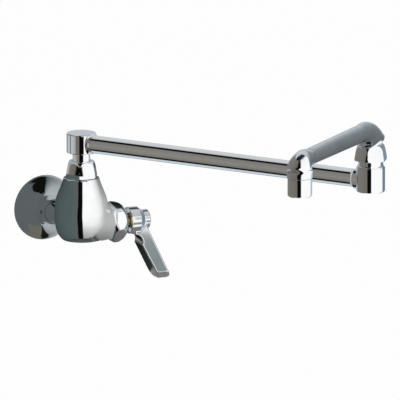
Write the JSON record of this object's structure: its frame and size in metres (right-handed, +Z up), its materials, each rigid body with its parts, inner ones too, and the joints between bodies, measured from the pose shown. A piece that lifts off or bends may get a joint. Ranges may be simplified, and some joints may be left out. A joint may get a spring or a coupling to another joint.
{
  "type": "wall-mounted pot filler faucet",
  "caption": "Chromed wall-mounted pot filler with a side lever valve and a double-jointed swing spout that folds over a range.",
  "frame": {"origin": "on the inlet's axis in the plane of the wall, which is the back face of the flange", "axes": "+Z up; the faucet reaches out from the wall along -Y; the lever valve's axis is +X"},
  "size_m": [0.2393, 0.4618, 0.2093],
  "materials": {
    "polished_chrome": "polished chrome plate over brass",
    "brass": "turned brass",
    "black_rubber": "moulded rubber",
    "acetal": "moulded acetal",
    "stainless": "plain stainless steel",
    "gasket_fibre": "pressed fibre"
  },
  "bodies": {
    "faucet_body": {"wall_flange": "polished_chrome", "flange_set_screw": "stainless", "inlet_shank": "polished_chrome", "valve_body": "polished_chrome", "seat_ring": "brass", "cartridge_sleeve": "brass", "cartridge_gasket": "gasket_fibre", "bonnet_nut": "polished_chrome", "body_spout_nut": "polished_chrome", "body_swivel_bearing": "acetal"},
    "lever": {"valve_stem": "brass", "stem_o_rings": "black_rubber", "stem_thrust_washer": "acetal", "lever_handle": "polished_chrome", "handle_screw": "stainless", "index_button": "polished_chrome"},
    "plunger": {"valve_plunger": "brass", "seat_washer": "black_rubber", "seat_washer_screw": "brass"},
    "first_arm": {"elbow_cap": "polished_chrome", "elbow_post": "polished_chrome", "elbow_post_o_rings": "black_rubber", "elbow_post_clip": "stainless", "first_pipe": "polished_chrome", "joint_housing": "polished_chrome", "joint_spout_nut": "polished_chrome", "joint_swivel_bearing": "acetal"},
    "end_arm": {"end_spout": "polished_chrome", "spout_post": "polished_chrome", "spout_post_o_rings": "black_rubber", "spout_post_clip": "stainless", "outlet_sleeve": "polished_chrome", "outlet_washer": "black_rubber", "outlet_screen": "stainless", "flow_straightener": "acetal"}
  },
  "joints": [
    {"name": "handle_turn", "type": "hinge", "parent": "faucet_body", "child": "lever", "pos_m": [0, -0.092, 0], "axis": [1, 0, 0], "range_deg": [-90, 0]},
    {"name": "plunger_lift", "type": "slide", "parent": "faucet_body", "child": "plunger", "axis": [1, 0, 0], "range_m": [0, 0.0024]},
    {"name": "first_swing", "type": "hinge", "parent": "faucet_body", "child": "first_arm", "pos_m": [0, -0.092, 0.0843], "axis": [0, 0, 1], "range_deg": [-124, 56]},
    {"name": "second_swing", "type": "hinge", "parent": "first_arm", "child": "end_arm", "pos_m": [0.18901, -0.37222, 0.0843], "axis": [0, 0, 1], "range_deg": [-71, 261]}
  ],
  "couplings": [
    {"joint": "plunger_lift", "follows": "handle_turn", "m_per_rad": -0.0015279}
  ]
}
